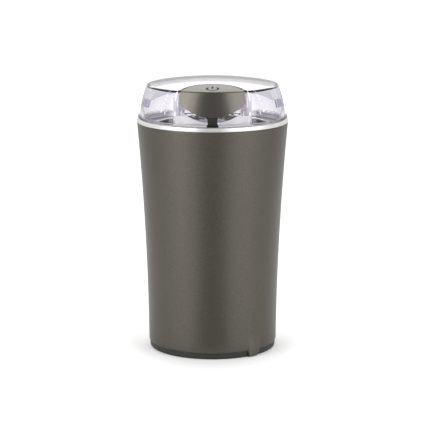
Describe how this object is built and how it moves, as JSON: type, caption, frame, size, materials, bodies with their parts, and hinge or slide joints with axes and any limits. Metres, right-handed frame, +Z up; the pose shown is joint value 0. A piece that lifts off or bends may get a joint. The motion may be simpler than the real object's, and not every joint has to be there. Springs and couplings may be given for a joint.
{
  "type": "electric spice grinder",
  "caption": "Upright electric blade grinder with a flared round housing, clear domed lid, press-to-run button and steel bowl over a motor.",
  "frame": {"origin": "on the blade's axis, at the surface the feet stand on", "axes": "+Z up along the blade's axis, front with the button towards -Y"},
  "size_m": [0.095, 0.095, 0.1719],
  "materials": {
    "housing_paint": "satin metallic titanium grey",
    "ring_metal": "bright satin plate",
    "black_plastic": "moulded black",
    "rubber": "matte",
    "clear_plastic": "clear moulded",
    "bowl_steel": "deep-drawn stainless",
    "plated_steel": "zinc plated",
    "spring_steel": "bright spring wire",
    "lamination": "stacked sheet steel",
    "copper_winding": "enamelled copper wire",
    "commutator_copper": "turned copper",
    "bronze": "sintered bronze",
    "brass": "stamped",
    "carbon": "carbon block",
    "switch_plastic": "moulded",
    "pin_red": "moulded",
    "terminal_plastic": "moulded",
    "wire_live": "brown insulation",
    "wire_neutral": "blue insulation",
    "fuse_body": "drawn can",
    "capacitor_case": "potted box"
  },
  "bodies": {
    "housing": {"housing_shell": "housing_paint", "trim_ring": "ring_metal", "base_plate": "black_plastic", "rubber_feet": "rubber", "base_screws": "plated_steel", "cord_gland": "rubber", "bowl_carrier": "black_plastic", "grinding_bowl": "bowl_steel", "bowl_gasket": "rubber", "bowl_nut": "black_plastic", "shaft_seal": "rubber", "stator_core": "lamination", "field_coils": "copper_winding", "upper_bracket": "plated_steel", "lower_bracket": "plated_steel", "upper_bearing": "bronze", "lower_bearing": "bronze", "motor_bolts": "plated_steel", "bracket_spacers": "plated_steel", "mount_bushes": "rubber", "mount_screws": "plated_steel", "brush_holders": "brass", "carbon_brushes": "carbon", "brush_springs": "spring_steel", "switch_bracket": "plated_steel", "switch_case": "switch_plastic", "switch_screws": "plated_steel", "contact_tabs": "brass", "terminal_block": "terminal_plastic", "terminal_screws": "plated_steel", "supply_wires": "wire_live", "switch_wire": "wire_live", "motor_wire": "wire_neutral", "thermal_fuse": "fuse_body", "fuse_wire": "wire_neutral", "suppression_capacitor": "capacitor_case", "plunger_spring": "spring_steel"},
    "rotor": {"motor_shaft": "plated_steel", "thrust_washers": "plated_steel", "armature_core": "lamination", "armature_windings": "copper_winding", "commutator": "commutator_copper", "cooling_fan": "black_plastic", "blade_spacer": "bowl_steel", "blade": "bowl_steel", "blade_nut": "bowl_steel"},
    "lid": {"lid_shell": "clear_plastic", "button_springs": "spring_steel"},
    "button": {"button_cap": "housing_paint", "button_carrier": "black_plastic"},
    "plunger": {"switch_plunger": "black_plastic"},
    "lever": {"switch_lever": "plated_steel"},
    "pin": {"switch_pin": "pin_red"}
  },
  "joints": [
    {"name": "lid_lift", "type": "slide", "parent": "housing", "child": "lid", "axis": [0, 0, 1], "range_m": [0, 0.06]},
    {"name": "button_press", "type": "slide", "parent": "lid", "child": "button", "axis": [0, 0, -1], "range_m": [0, 0.003], "stiffness_N_per_m": 900, "springref_m": -0.002, "deforming": ["button_springs"]},
    {"name": "plunger_slide", "type": "slide", "parent": "housing", "child": "plunger", "axis": [0, 0, -1], "range_m": [0, 0.003], "deforming": ["plunger_spring"]},
    {"name": "lever_turn", "type": "hinge", "parent": "housing", "child": "lever", "pos_m": [-0.015, -0.032, 0.0832], "axis": [0, 1, 0], "range_deg": [0, 11.6]},
    {"name": "pin_slide", "type": "slide", "parent": "housing", "child": "pin", "axis": [0, 0, -1], "range_m": [0, 0.00135]},
    {"name": "rotor_spin", "type": "hinge", "parent": "housing", "child": "rotor", "pos_m": [0, 0, 0.05], "axis": [0, 0, 1], "continuous": true}
  ],
  "couplings": [
    {"joint": "plunger_slide", "follows": "button_press", "ratio": 1},
    {"joint": "lever_turn", "follows": "button_press", "rad_per_m": 66.667},
    {"joint": "pin_slide", "follows": "button_press", "ratio": 0.4333}
  ]
}
